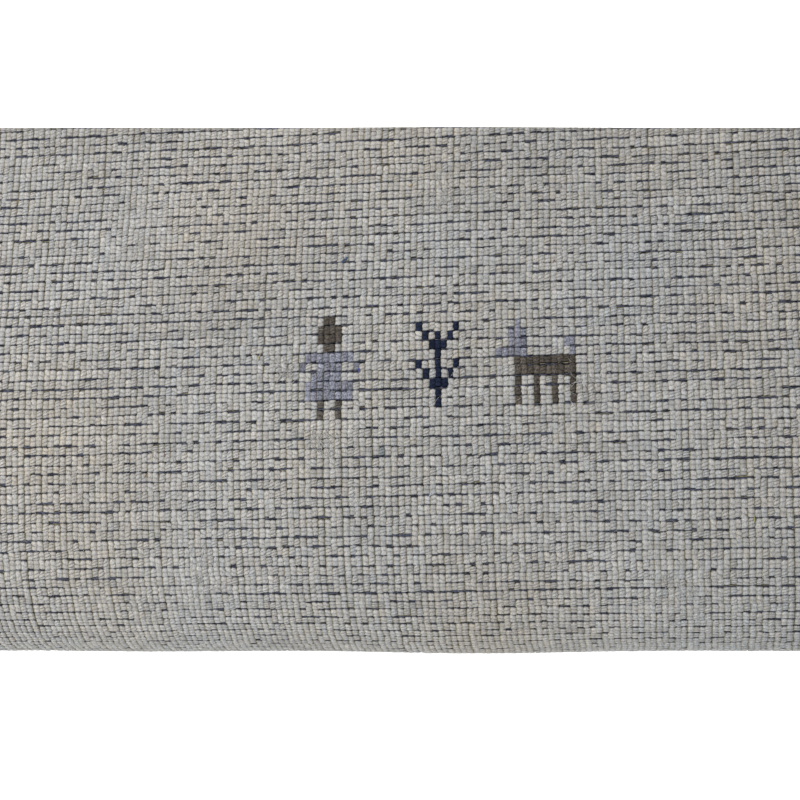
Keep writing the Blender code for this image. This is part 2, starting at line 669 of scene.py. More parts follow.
class ScatterTree:
    """Geometry Nodes tree that sets small shapes on points of the cloth."""

    INPUTS = (
        ("Points", "NodeSocketGeometry", None),
        ("Shapes", "NodeSocketCollection", None),
        ("Width", "NodeSocketFloat", 0.00375),
        ("Length", "NodeSocketFloat", 0.006),
        ("Height", "NodeSocketFloat", 0.0018),
        ("Tilt", "NodeSocketFloat", 0.05),
        ("Seed", "NodeSocketInt", 1),
        ("Finish", "NodeSocketMaterial", None),
    )

    def __init__(self) -> None:
        """Build the tree with its named inputs."""
        tree = bpy.data.node_groups.new("set_on_cloth", "GeometryNodeTree")
        self.tree = tree
        self.keys: dict[str, str] = {}
        for name, kind, value in self.INPUTS:
            socket = tree.interface.new_socket(name, in_out="INPUT", socket_type=kind)
            if value is not None:
                socket.default_value = value
            self.keys[name] = socket.identifier
        tree.interface.new_socket("Geometry", in_out="OUTPUT", socket_type="NodeSocketGeometry")
        given = add_node(tree, "NodeGroupInput").outputs
        shapes = add_node(tree, "GeometryNodeCollectionInfo",
                          {"Collection": given["Shapes"], "Separate Children": True,
                           "Reset Children": True})
        outward = add_node(tree, "GeometryNodeInputNamedAttribute", {"Name": "outward"},
                           data_type="FLOAT_VECTOR").outputs["Attribute"]
        forward = add_node(tree, "GeometryNodeInputNamedAttribute", {"Name": "forward"},
                           data_type="FLOAT_VECTOR").outputs["Attribute"]
        stretch = add_node(tree, "GeometryNodeInputNamedAttribute", {"Name": "stretch"},
                           data_type="FLOAT_VECTOR").outputs["Attribute"]
        pick = add_node(tree, "GeometryNodeInputNamedAttribute", {"Name": "shape"},
                        data_type="INT").outputs["Attribute"]
        stand = add_node(tree, "FunctionNodeAlignRotationToVector", {"Vector": outward},
                         axis="Z").outputs[0]
        face = add_node(tree, "FunctionNodeAlignRotationToVector",
                        {"Rotation": stand, "Vector": forward}, axis="Y", pivot_axis="Z").outputs[0]
        low = add_node(tree, "ShaderNodeMath", {0: given["Tilt"], 1: -1.0},
                       operation="MULTIPLY").outputs[0]
        loose = add_node(tree, "FunctionNodeRandomValue",
                         {"Min": low, "Max": given["Tilt"], "Seed": given["Seed"]},
                         data_type="FLOAT_VECTOR").outputs[0]
        turn = add_node(tree, "FunctionNodeRotateRotation", {"Rotation": face, "Rotate By": loose},
                        rotation_space="LOCAL").outputs[0]
        size = add_node(tree, "ShaderNodeCombineXYZ",
                        {"X": given["Width"], "Y": given["Length"],
                         "Z": given["Height"]}).outputs[0]
        scale = add_node(tree, "ShaderNodeVectorMath", {0: size, 1: stretch},
                         operation="MULTIPLY").outputs[0]
        placed = add_node(tree, "GeometryNodeInstanceOnPoints",
                          {"Points": given["Points"], "Instance": shapes.outputs[0],
                           "Pick Instance": True, "Instance Index": pick, "Rotation": turn,
                           "Scale": scale}).outputs[0]
        real = add_node(tree, "GeometryNodeRealizeInstances", {0: placed}).outputs[0]
        dressed = add_node(tree, "GeometryNodeSetMaterial",
                           {"Geometry": real, "Material": given["Finish"]}).outputs[0]
        add_node(tree, "NodeGroupOutput", {0: dressed})

    def run(self, name: str, points: "Points", shapes: bpy.types.Collection,
            sizes: dict[str, float], finish: bpy.types.Material, seed: int) -> bpy.types.Object:
        """Set shapes on points and keep the result as a plain mesh.

        Args:
            name: Piece's name.
            points: Where the shapes go.
            shapes: Collection of unit shapes.
            sizes: Width, Length, Height and Tilt.
            finish: Material of the piece.
            seed: Seed of the small tilts.

        Returns:
            The piece, riding on nothing yet.
        """
        carrier = points.carrier(name + "_points")
        modifier = carrier.modifiers.new("set on cloth", "NODES")
        modifier.node_group = self.tree
        modifier[self.keys["Shapes"]] = shapes
        modifier[self.keys["Finish"]] = finish
        modifier[self.keys["Seed"]] = seed
        for key, value in sizes.items():
            modifier[self.keys[key]] = value
        graph = bpy.context.evaluated_depsgraph_get()
        mesh = bpy.data.meshes.new_from_object(carrier.evaluated_get(graph),
                                               preserve_all_data_layers=True, depsgraph=graph)
        carrier.modifiers.clear()
        bpy.data.objects.remove(carrier, do_unlink=True)
        mesh.name = name
        for extra in ("outward", "forward", "stretch", "shape"):
            if extra in mesh.attributes:
                mesh.attributes.remove(mesh.attributes[extra])
        piece = bpy.data.objects.new(name, mesh)
        bpy.context.scene.collection.objects.link(piece)
        return piece


@dataclass
class Points:
    """Places on the cloth with what the scatter tree reads at each."""

    place: np.ndarray
    outward: np.ndarray
    forward: np.ndarray
    stretch: np.ndarray
    shape: np.ndarray
    yarn: np.ndarray

    def carrier(self, name: str) -> bpy.types.Object:
        """Store the points and their attributes on a mesh without faces."""
        mesh = bpy.data.meshes.new(name)
        mesh.from_pydata(self.place.tolist(), [], [])
        for key, kind, target in (("outward", "FLOAT_VECTOR", "vector"),
                                  ("forward", "FLOAT_VECTOR", "vector"),
                                  ("stretch", "FLOAT_VECTOR", "vector")):
            layer = mesh.attributes.new(key, kind, "POINT")
            layer.data.foreach_set(target,
                                   np.ascontiguousarray(getattr(self, key),
                                                        dtype=np.float32).ravel())
        mesh.attributes.new("shape", "INT", "POINT").data.foreach_set(
            "value", np.ascontiguousarray(self.shape, dtype=np.int32))
        colours = self.yarn.astype(np.float32)
        if colours.shape[1] == 3:
            colours = np.concatenate([colours, np.ones((len(colours), 1), dtype=np.float32)],
                                     axis=1)
        mesh.attributes.new("yarn", "FLOAT_COLOR", "POINT").data.foreach_set("color",
                                                                             colours.ravel())
        carrier = bpy.data.objects.new(name, mesh)
        bpy.context.scene.collection.objects.link(carrier)
        return carrier


class UnitShapes:
    """Small unit meshes that the scatter tree copies."""

    def __init__(self) -> None:
        """Keep a hidden collection for each kind."""
        self.collections: list[bpy.types.Collection] = []

    def gather(self, name: str, meshes: Sequence[bpy.types.Mesh]) -> bpy.types.Collection:
        """Put meshes into a collection in their order.

        Args:
            name: Collection's name.
            meshes: Unit meshes.

        Returns:
            The collection, which is not in the scene.
        """
        collection = bpy.data.collections.new(name)
        for number, mesh in enumerate(meshes):
            collection.objects.link(bpy.data.objects.new(f"{name}_{number:02d}", mesh))
        self.collections.append(collection)
        return collection

    def clear(self) -> None:
        """Remove the unit meshes once every piece is made."""
        for collection in self.collections:
            for shape in list(collection.objects):
                bpy.data.objects.remove(shape, do_unlink=True)
            bpy.data.collections.remove(collection)
        self.collections.clear()

    def pillow(self, name: str, across: Sequence[float], down: Sequence[float],
               height: Callable[[float, float], float], slip: float, bow: float,
               cell: Callable[[float, float], tuple[float, float, float]]) -> bpy.types.Mesh:
        """Closed pillow over a unit square, rounded by a height function.

        Args:
            name: Mesh name.
            across: Stations from -0.5 to 0.5 over the width.
            down: Stations from -0.5 to 0.5 over the length.
            height: Height at a station pair, 0 on the rim.
            slip: Slant of the strands, as a shift along per unit across.
            bow: How far the ends are drawn in at the sides, as a share of the length.
            cell: Place across, ply phase and lightness of the wool at a station pair.

        Returns:
            The mesh, with these three as the attribute "cell", and its place along as "reach".
        """
        mesh = bpy.data.meshes.new(name)
        work = bmesh.new()
        grid = [[work.verts.new((x, y * (1 - bow * 4 * x * x) + slip * x * (0.25 - y * y) * 4,
                                 height(x, y))) for x in across] for y in down]
        for r in range(len(down) - 1):
            for c in range(len(across) - 1):
                work.faces.new((grid[r][c], grid[r][c + 1], grid[r + 1][c + 1], grid[r + 1][c]))
        rim = (grid[0] + [line[-1] for line in grid[1:]] + grid[-1][-2::-1]
               + [line[0] for line in grid[-2:0:-1]])
        work.faces.new(rim[::-1])
        work.to_mesh(mesh)
        work.free()
        mesh.shade_smooth()
        values = np.array([cell(x, y) for y in down for x in across], dtype=np.float32)
        mesh.attributes.new("cell", "FLOAT_VECTOR", "POINT").data.foreach_set("vector",
                                                                              values.ravel())
        reach = np.array([2 * y for y in down for _ in across], dtype=np.float32)
        mesh.attributes.new("reach", "FLOAT", "POINT").data.foreach_set("value", reach)
        return mesh

    def strand(self, name: str, stations: Sequence[tuple[float, float, float, float]],
               sides: int) -> bpy.types.Mesh:
        """Closed strand lying along X, swept through stations.

        Args:
            name: Mesh name.
            stations: Place along X, sideways Y, height Z and radius share.
            sides: Sides of the tube.

        Returns:
            The mesh.
        """
        mesh = bpy.data.meshes.new(name)
        work = bmesh.new()
        rings = []
        for x, y, z, radius in stations:
            ring = []
            for k in range(sides):
                turn = 2 * math.pi * (k + 0.5) / sides
                ring.append(work.verts.new((x, y + radius * math.cos(turn),
                                            z + radius * math.sin(turn))))
            rings.append(ring)
        for first, second in zip(rings, rings[1:]):
            for k in range(sides):
                work.faces.new((first[k], first[(k + 1) % sides], second[(k + 1) % sides],
                                second[k]))
        work.faces.new(rings[0][::-1])
        work.faces.new(rings[-1])
        bmesh.ops.recalc_face_normals(work, faces=work.faces)
        work.to_mesh(mesh)
        work.free()
        mesh.shade_smooth()
        return mesh


@dataclass
class Workshop:
    """What every sub-assembly works with."""

    fold: Fold
    weave: Weave
    scatter: ScatterTree
    shapes: UnitShapes

    def finish(self, piece: bpy.types.Object) -> bpy.types.Object:
        """Let a piece ride on the cloth's body and log its triangles."""
        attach(piece, "root")
        LOG.info("%s: %d triangles", piece.name,
                 sum(len(p.vertices) - 2 for p in piece.data.polygons))
        return piece


@dataclass
class GroundCloth:
    """Woven ground: the sheet that carries knots, floats and pile.

    Attributes:
        top: Depth of its outer face under the knots' crests.
        back: Depth of its inner face.
    """

    shop: Workshop
    top: float = 1.18 * MM
    back: float = 4.2 * MM
    columns: int = 36
    rows: int = 150

    def build(self) -> bpy.types.Object:
        piece = slab(self.shop, "woven_ground", self.top, self.back, self.columns, self.rows,
                     self.bulge)
        piece.data.materials.append(GroundWool().build())
        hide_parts(NODE)
        return self.shop.finish(piece)

    def bulge(self, along: np.ndarray, x: np.ndarray, inner: bool) -> np.ndarray:
        """Keep both faces even."""
        return np.zeros_like(along)


@dataclass
class PileBed:
    """Body of the pressed pile on the cloth's inner face.

    Attributes:
        top: Depth of its outer side, inside the ground.
        back: Depth of its plush face.
        lump: Height of its unevenness.
    """

    shop: Workshop
    top: float = 3.6 * MM
    back: float = 14.0 * MM
    lump: float = 0.7 * MM
    columns: int = 96
    rows: int = 140
    seed: int = 5

    def build(self) -> bpy.types.Object:
        """Lay the pile's body on the fold."""
        rng = np.random.default_rng(self.seed)
        shape = (self.rows + 1, self.columns + 1)
        self.field = 0.6 * drift(rng, shape, (1.1, 1.1)) + 0.5 * drift(rng, shape, (4.0, 5.0))
        piece = slab(self.shop, "pile_bed", self.top, self.back, self.columns, self.rows,
                     self.bulge)
        piece.data.materials.append(PileWool().build())
        return self.shop.finish(piece)

    def bulge(self, along: np.ndarray, x: np.ndarray, inner: bool) -> np.ndarray:
        """Lumps of the plush face; the hidden face stays even."""
        if not inner:
            return np.zeros_like(along)
        return self.lump * np.clip(self.field.ravel(), -1.6, 1.4)


def slab(shop: Workshop, name: str, top: float, back: float, columns: int, rows: int,
         bulge: Callable[[np.ndarray, np.ndarray, bool], np.ndarray]) -> bpy.types.Object:
    """Closed slab of cloth between two depths, with a UV map in knot cells.

    Args:
        shop: The workshop.
        name: Piece's name.
        top: Depth of the outer face.
        back: Depth of the inner face.
        columns: Faces across.
        rows: Faces along.
        bulge: Height added to a face, by length, place across and whether it is the inner one.

    Returns:
        The piece.
    """
    fold, weave = shop.fold, shop.weave
    across, share = np.meshgrid(np.linspace(-1, 1, columns + 1), np.linspace(0, 1, rows + 1))
    side, share = across.ravel(), share.ravel()
    plain = share * fold.length
    x = side * (fold.width / 2 - 0.6 * MM) + fold.side_wave(plain, side)
    along = plain + np.clip(plain - fold.lift, 0, None) / (fold.length - fold.lift) * fold.slant * x
    along = np.clip(along, 0.4 * MM, fold.end_at(x) - 0.4 * MM)
    outer = fold.lay(along, x, -top + bulge(along, x, False))
    inner = fold.lay(along, x, -back - bulge(along, x, True))
    count = len(along)
    grid = np.arange(count).reshape(rows + 1, columns + 1)
    a, b, c, d = (grid[:-1, :-1].ravel(), grid[:-1, 1:].ravel(), grid[1:, 1:].ravel(),
                  grid[1:, :-1].ravel())
    faces = np.concatenate([np.stack([a, b, c, d], 1), np.stack([d, c, b, a], 1) + count])
    edge = np.concatenate([grid[0, :-1], grid[:-1, -1], grid[-1, :0:-1], grid[:0:-1, 0]])
    after = np.roll(edge, -1)
    faces = np.concatenate([faces, np.stack([edge, edge + count, after + count, after], 1)])
    mesh = bpy.data.meshes.new(name)
    mesh.from_pydata(np.concatenate([outer, inner]).tolist(), [], faces.tolist())
    column, row = weave.read(along, x)
    cells = np.stack([np.tile(column, 2), np.tile(row, 2)], axis=1)
    layer = mesh.uv_layers.new(name="weave")
    corners = np.empty(len(mesh.loops), dtype=np.int32)
    mesh.loops.foreach_get("vertex_index", corners)
    layer.data.foreach_set("uv", cells[corners].astype(np.float32).ravel())
    mesh.shade_smooth()
    piece = bpy.data.objects.new(name, mesh)
    bpy.context.scene.collection.objects.link(piece)
    return piece


@dataclass
class KnotFace:
    """Knotted back of the rug, in bands of rows.

    Attributes:
        height: Knot's height, foot to crest; the foot is sunk in the ground.
        wide: Width as a share of the column's, so neighbours press into each other.
        seam: Gap between two rows where it is closed, where the weft shows as a line and where it
            is widest, as shares of the row's height; below 0 the knots press into each other.
        margin: How far the knots stop short of the cut edges.
        streak: How strongly pale and dark fibres show in the field's wool and in the figures'.
        bands: Piece's name, first row, last row and whether its knots are seen close.
    """

    shop: Workshop
    height: float = 1.35 * MM
    wide: float = 1.33
    seam: tuple[float, float, float] = (-0.33, -0.035, 0.12)
    margin: float = 0.35 * MM
    streak: tuple[float, float] = (0.33, 0.72)
    bands: tuple[tuple[str, int, int, bool], ...] = (
        ("knots_far_edge", -2, 18, True),
        ("knots_slope", 18, 40, True),
        ("knots_crown", 40, 58, True),
        ("knots_roll", 58, 84, True),
        ("knots_underside", 84, 126, False),
    )
    seed: int = 3
    tints: np.ndarray = field(init=False)

    def __post_init__(self) -> None:
        """Dye the knots: field wool with streaks and patches, then the charted figures."""
        weave = self.shop.weave
        rng = np.random.default_rng(self.seed)
        shape = (weave.rows + 1, weave.columns + 1)
        value = (1.0 + 0.035 * drift(rng, shape, (6.0, 9.0)) + 0.028 * drift(rng, shape, (0.1, 4.0))
                 + 0.042 * rng.normal(size=shape))
        warmth = 0.012 * drift(rng, shape, (5.0, 7.0)) + 0.012 * rng.normal(size=shape)
        base = linear(Yarn.FIELD.value)
        tints = np.full((*shape, 4), self.streak[0])
        tints[..., :3] = base * value[..., None]
        tints[..., 0] *= 1.0 + warmth
        tints[..., 2] *= 1.0 - 1.3 * warmth
        for chart in CHARTS:
            for r, line in enumerate(chart.lines):
                for c, letter in enumerate(line):
                    if letter == ".":
                        continue
                    row = chart.row + r - weave.first_row
                    column = chart.column + c - weave.first_column
                    tints[row, column,
                          :3] = linear(YARN_OF[letter].value) * (1.0 + 0.14 * rng.normal())
                    tints[row, column, 3] = self.streak[1]
        tints[37 - weave.first_row, 63 - weave.first_column, :3] = linear("#8F9598")
        self.tints = np.clip(tints, 0.004, 0.95)

    def build(self) -> list[bpy.types.Object]:
        """Knot every band."""
        finish = KnotWool().build()
        close = self.shop.shapes.gather("knot", [self.knot(f"knot_{k}", k, True) for k in range(8)])
        plain = self.shop.shapes.gather("plain_knot",
                                        [self.knot(f"plain_knot_{k}", k, False) for k in range(2)])
        pieces = []
        for name, first, last, seen in self.bands:
            points = self.points(first, last, 8 if seen else 2)
            sizes = {"Width": self.shop.weave.column_pitch, "Length": self.shop.weave.row_pitch,
                     "Height": self.height, "Tilt": 0.06}
            piece = self.shop.scatter.run(name, points, close if seen else plain, sizes, finish, 7)
            pieces.append(self.shop.finish(piece))
        return pieces

    def knot(self, name: str, kind: int, seen: bool) -> bpy.types.Mesh:
        """Shape one knot: a loop of two plies laid over the warp.

        Args:
            name: Mesh name.
            kind: Which of the small variations.
            seen: Whether it has its plies, or only its outline.

        Returns:
            The unit mesh.
        """
        rng = np.random.default_rng(self.seed + 40 + kind)
        plies = 3 if seen and kind % 4 == 3 else 2
        lean = float(rng.uniform(-0.30, 0.42))
        middle = float(rng.uniform(-0.11, 0.11))
        first, second = (float(v) for v in rng.uniform(0.86, 1.0, 2))
        groove = float(rng.uniform(0.45, 0.62)) if plies == 2 else 0.95
        shoulders = [float(v) for v in rng.uniform(0.78, 0.90, 4)]
        tones = [float(v) for v in rng.uniform(0.90, 1.09, 3)]

        def height(x: float, y: float) -> float:
            if abs(y) >= 0.499 or abs(x) >= 0.499:
                return 0.0
            side = shoulders[(0 if x < 0 else 1) + (0 if y < 0 else 2)] if abs(x) > 0.1 else 1.0
            if not seen:
                return side
            lobe = first if y < middle - 0.1 else second if y > middle + 0.1 else groove
            return side * lobe

        def cell(x: float, y: float) -> tuple[float, float, float]:
            if not seen:
                return 2 * x, 2 * (y + 0.5), 1.0
            share = 0.5 + 0.5 * (y - middle) / (0.5 - middle if y > middle else 0.5 + middle)
            tone = (tones[0] if y < middle - 0.1 else
                    tones[1] if y > middle + 0.1 else 0.5 * (tones[0] + tones[1]))
            return 2 * x, plies * share, tone * (1.0 + 0.6 * (tones[2] - 1.0) * x)

        if seen:
            return self.shop.shapes.pillow(name, (-0.5, -0.35, 0.0, 0.35, 0.5),
                                           (-0.5, middle - 0.28, middle, middle + 0.28, 0.5),
                                           height, lean, 0.16, cell)
        return self.shop.shapes.pillow(name, (-0.5, -0.25, 0.25, 0.5), (-0.5, 0.0, 0.5), height,
                                       0.0, 0.1, cell)

    def points(self, first: int, last: int, kinds: int) -> Points:
        """Set out the knots of a band.

        Args:
            first: First row.
            last: Row after the last.
            kinds: How many knot shapes there are.

        Returns:
            The points.
        """
        fold, weave = self.shop.fold, self.shop.weave
        rng = np.random.default_rng(self.seed + 100 + first)
        column, row = weave.cells(first, last)
        ahead, behind = (np.interp(weave.look_up(weave.opening, column, row + step),
                                   (0.0, 0.75, 1.0), self.seam) for step in (0, 1))
        start = row - 0.5 + weave.look_up(weave.seam_shift, column, row) + 0.5 * ahead
        end = row + 0.5 + weave.look_up(weave.seam_shift, column, row + 1) - 0.5 * behind
        shift_side = weave.look_up(weave.column_shift, column, row)
        along, x = weave.place(column + shift_side + 0.03 * rng.normal(size=len(column)),
                               (start + end) / 2)
        long = weave.row_pitch * (end - start) * (1.0 + 0.02 * rng.normal(size=len(column)))
        broad = weave.column_pitch * self.wide * np.clip(1.0 + 0.03 * rng.normal(size=len(column)),
                                                         0.92, 1.07)
        along, long = self.trim(along, long, self.margin, fold.end_at(x) - self.margin)
        x, broad = self.trim(x, broad, self.margin - fold.width / 2, fold.width / 2 - self.margin)
        keep = (long > 0.25 * weave.row_pitch) & (broad > 0.3 * weave.column_pitch)
        column, row, along, x, long, broad = (values[keep]
                                              for values in (column, row, along, x, long, broad))
        count = len(along)
        tall = np.clip(1.0 + 0.05 * rng.normal(size=count), 0.86, 1.0)
        stretch = np.stack([broad / weave.column_pitch, long / weave.row_pitch, tall], axis=1)
        outward, forward = fold.directions(along, x)
        place = fold.lay(along, x, -self.height)
        return Points(place, outward, forward, stretch, rng.integers(0, kinds, count),
                      weave.look_up(self.tints, column, row))

    def trim(self, middle: np.ndarray, size: np.ndarray, low: np.ndarray | float,
             high: np.ndarray | float) -> tuple[np.ndarray, np.ndarray]:
        """Cut spans off at two ends, as the shears cut the knots at the cloth's edges.

        Args:
            middle: Middles of the spans.
            size: Their lengths.
            low: Lower cut.
            high: Upper cut.

        Returns:
            Middles and lengths of what is left, with lengths of 0 or less where nothing is.
        """
        start = np.maximum(middle - size / 2, low)
        end = np.minimum(middle + size / 2, high)
        return (start + end) / 2, end - start


@dataclass
class WeftFloats:
    """Navy weft where it comes up between two rows of knots.

    Attributes:
        threshold: How far a seam must open for the weft to show as a float.
        radius: Thinnest and thickest strand.
        depth: Depth of its middle under the crests, for the thinnest and the thickest.
    """

    shop: Workshop
    threshold: float = 0.38
    radius: tuple[float, float] = (0.15 * MM, 0.34 * MM)
    depth: tuple[float, float] = (0.95 * MM, 0.56 * MM)
    rows: tuple[int, int] = (-1, 84)
    seed: int = 21

    def build(self) -> bpy.types.Object:
        """Lay a float over each warp where the seam is open."""
        rng = np.random.default_rng(self.seed)
        weave, fold = self.shop.weave, self.shop.fold
        column, row = weave.cells(*self.rows)
        opening = weave.look_up(weave.opening, column, row)
        keep = opening > self.threshold
        column, row, opening = column[keep], row[keep], opening[keep]
        count = len(column)
        strength = np.clip((opening - self.threshold) / (0.95 - self.threshold), 0.0, 1.0)
        shift = weave.look_up(weave.seam_shift, column, row)
        side = weave.look_up(weave.column_shift, column, row)
        along, x = weave.place(column + side + 0.05 * rng.normal(size=count),
                               row - 0.5 + shift + 0.03 * rng.normal(size=count))
        half = 0.55 * weave.column_pitch
        keep = (np.abs(x) + half < fold.width / 2 - 0.5 * MM) & (along
                                                                 < fold.end_at(x)
                                                                 - 0.8 * MM) & (along > 1.0 * MM)
        along, x, strength = along[keep], x[keep], strength[keep]
        count = len(x)
        scale = np.interp(strength ** 1.5, [0.0, 1.0],
                          self.radius) * np.clip(1 + 0.15 * rng.normal(size=count), 0.7, 1.3)
        span = 0.98 + 0.10 * rng.normal(size=count)
        stretch = np.stack([span, scale / MM, scale / MM], axis=1)
        outward, forward = fold.directions(along, x)
        place = fold.lay(along, x,
                         -np.interp(strength, [0.0, 1.0], self.depth)
                         + 0.06 * MM * rng.normal(size=count))
        clear = np.clip(0.12 + strength + 0.22 * rng.normal(size=count), 0.0, 1.0)[:, None]
        tint = (linear(Yarn.WEFT.value)[None, :] * clear
                + linear(Yarn.HAZED_WEFT.value)[None, :] * (1.0 - clear))
        points = Points(place, outward, forward, stretch, rng.integers(0, 6, count),
                        tint * (1.0 + 0.12 * rng.normal(size=(count, 1))))
        shapes = self.shop.shapes.gather("float", [self.strand(k) for k in range(6)])
        sizes = {"Width": weave.column_pitch, "Length": 1 * MM, "Height": 1 * MM, "Tilt": 0.07}
        piece = self.shop.scatter.run("weft_floats", points, shapes, sizes,
                                      StrandWool("navy_weft", low=0.7, high=1.5).build(), 9)
        return self.shop.finish(piece)

    def strand(self, kind: int) -> bpy.types.Mesh:
        """One float over a warp, dipping at its ends."""
        rng = np.random.default_rng(self.seed + kind)
        stations = []
        for share in (-0.55, 0.0, 0.55):
            end = abs(share) / 0.55
            stations.append((share, 0.4 * float(rng.normal()), -0.9 * end ** 4,
                             1.05 - 0.6 * end ** 3 + 0.1 * float(rng.normal())))
        return self.shop.shapes.strand(f"float_{kind}", stations, 3)


@dataclass(frozen=True)
class Stray:
    """A loose strand caught in the back.

    Attributes:
        name: What it is.
        column: Knot column of its middle.
        row: Knot row of its middle.
        turn: Degrees from the weft, growing away from the roll.
        length: End to end, in mm.
        radius: In mm.
        colour: As sRGB hex.
    """

    name: str
    column: float
    row: float
    turn: float
    length: float
    radius: float
    colour: str


@dataclass
class Lint:
    """Loose hairs lying on the knots, single coloured strands and felted patches.

    Attributes:
        hairs: How many pale hairs lie all over.
        hair_length: Shortest and longest, in mm.
        hair_radius: Thinnest and thickest, in mm.
        felted: Hairs in each felted patch.
        felt_radius: Thinnest and thickest there, in mm.
    """

    shop: Workshop
    hairs: int = 800
    hair_length: tuple[float, float] = (3.0, 9.0)
    hair_radius: tuple[float, float] = (0.05, 0.09)
    felted: int = 40
    felt_radius: tuple[float, float] = (0.08, 0.20)
    strays: tuple[Stray, ...] = (
        Stray("blue tuft, left", 56.5, 16.4, 62.0, 3.4, 0.55, "#2E5078"),
        Stray("blue tuft, right", 56.9, 16.2, 58.0, 3.6, 0.55, "#34577F"),
        Stray("bright blue end", 59.4, 28.5, 84.0, 3.0, 0.36, "#2C45C4"),
        Stray("straw", 42.7, 26.8, 62.0, 5.4, 0.30, "#C9BB84"),
        Stray("straw speck", 67.4, 8.0, 24.0, 3.0, 0.42, "#C8AE70"),
        Stray("yellow end", 122.4, 44.6, 84.0, 3.2, 0.40, "#A8A45A"),
        Stray("weft end", 78.6, 37.7, 40.0, 4.4, 0.42, "#20232F"),
        Stray("pale hair", 70.6, 41.6, 50.0, 5.6, 0.20, "#DDE2F0"),
        Stray("pale hair, crossing", 70.9, 41.3, 22.0, 4.6, 0.20, "#D6DCEE"),
        Stray("pale speck", 126.0, 39.8, 12.0, 3.2, 0.42, "#CFD4E6"),
        Stray("madder fleck", 91.1, 17.4, 50.0, 2.6, 0.34, "#93655C"),
        Stray("madder fleck, left", 26.5, 36.8, 70.0, 2.6, 0.34, "#8E6E60"),
        Stray("camel fleck", 23.2, 38.8, 40.0, 3.6, 0.40, "#A08A6C"),
    )
    seed: int = 51

    def build(self) -> bpy.types.Object:
        """Lay the hairs, the patches and the strays."""
        rng = np.random.default_rng(self.seed)
        weave, fold = self.shop.weave, self.shop.fold
        column = [rng.uniform(weave.first_column + 4, weave.last_column - 4, self.hairs)]
        row = [rng.uniform(0, 84, self.hairs)]
        radius = [rng.uniform(*self.hair_radius, self.hairs)]
        for middle, line, reach in weave.felt:
            column.append(middle + reach * 1.1 * rng.normal(size=self.felted))
            row.append(line + reach * 0.8 * rng.normal(size=self.felted))
            radius.append(rng.uniform(*self.felt_radius, self.felted))
        column, row, radius = (np.concatenate(column), np.concatenate(row),
                               np.concatenate(radius) * MM)
        count = len(column)
        turn = rng.uniform(0, math.pi, count)
        length = rng.uniform(*self.hair_length, count) * MM
        tint = linear("#BDBBB7")[None, :] * np.clip(1.0 + 0.12 * rng.normal(size=(count, 1)), 0.5,
                                                    1.35)
        rise = rng.uniform(-0.05, 0.28, count) * MM
        column = np.concatenate([column, [stray.column for stray in self.strays]])
        row = np.concatenate([row, [stray.row for stray in self.strays]])
        turn = np.concatenate([turn, [math.radians(stray.turn) for stray in self.strays]])
        length = np.concatenate([length, [stray.length * MM for stray in self.strays]])
        radius = np.concatenate([radius, [stray.radius * MM for stray in self.strays]])
        rise = np.concatenate([rise, [0.6 * stray.radius * MM for stray in self.strays]])
        tint = np.concatenate([tint, [linear(stray.colour) for stray in self.strays]])
        along, x = weave.place(column, row)
        keep = (np.abs(x) < fold.width / 2 - 5 * MM) & (along < fold.end_at(x) - 5 * MM)
        along, x, turn, length, radius, rise, tint = (values[keep]
                                                      for values in (along, x, turn, length, radius,
                                                                     rise, tint))
        outward, forward = fold.directions(along, x)
        across = np.cross(forward, outward)
        forward = forward * np.cos(turn)[:, None] - across * np.sin(turn)[:, None]
        stretch = np.stack([length / MM, radius / MM, radius / MM], axis=1)
        shape = np.where(radius > self.felt_radius[1] * MM, rng.integers(4, 6, len(x)),
                         rng.integers(0, 4, len(x)))
        points = Points(fold.lay(along, x, rise), outward, forward, stretch, shape,
                        np.clip(tint, 0.004, 0.9))
        shapes = self.shop.shapes.gather("hair", [self.hair(k, k > 3) for k in range(6)])
        sizes = {"Width": 1 * MM, "Length": 1 * MM, "Height": 1 * MM, "Tilt": 0.05}
        piece = self.shop.scatter.run("lint", points, shapes, sizes,
                                      StrandWool("loose_hair", sheen=0.3, low=0.85,
                                                 high=1.15).build(), 17)
        return self.shop.finish(piece)

    def hair(self, kind: int, thick: bool) -> bpy.types.Mesh:
        """One hair that curls sideways and dips between the knots, or one straighter thick end."""
        rng = np.random.default_rng(self.seed + kind)
        sway, lift = (float(rng.uniform(0.3, 0.7)),
                      0.3) if thick else (float(rng.uniform(1.5, 5.0)),
                                          float(rng.uniform(0.4, 1.4)))
        start = float(rng.uniform(0, 2 * math.pi))
        stations = []
        for share in (-0.5, -0.3, -0.1, 0.1, 0.3, 0.5):
            bend = math.sin(start + 5.0 * share)
            stations.append((share, sway * bend * 0.6,
                             lift * math.cos(2 * start + 7.0 * share) - 0.8 * (2 * share) ** 4,
                             1.0 - 0.6 * abs(2 * share) ** 3))
        return self.shop.shapes.strand(f"hair_{kind}", stations, 3)


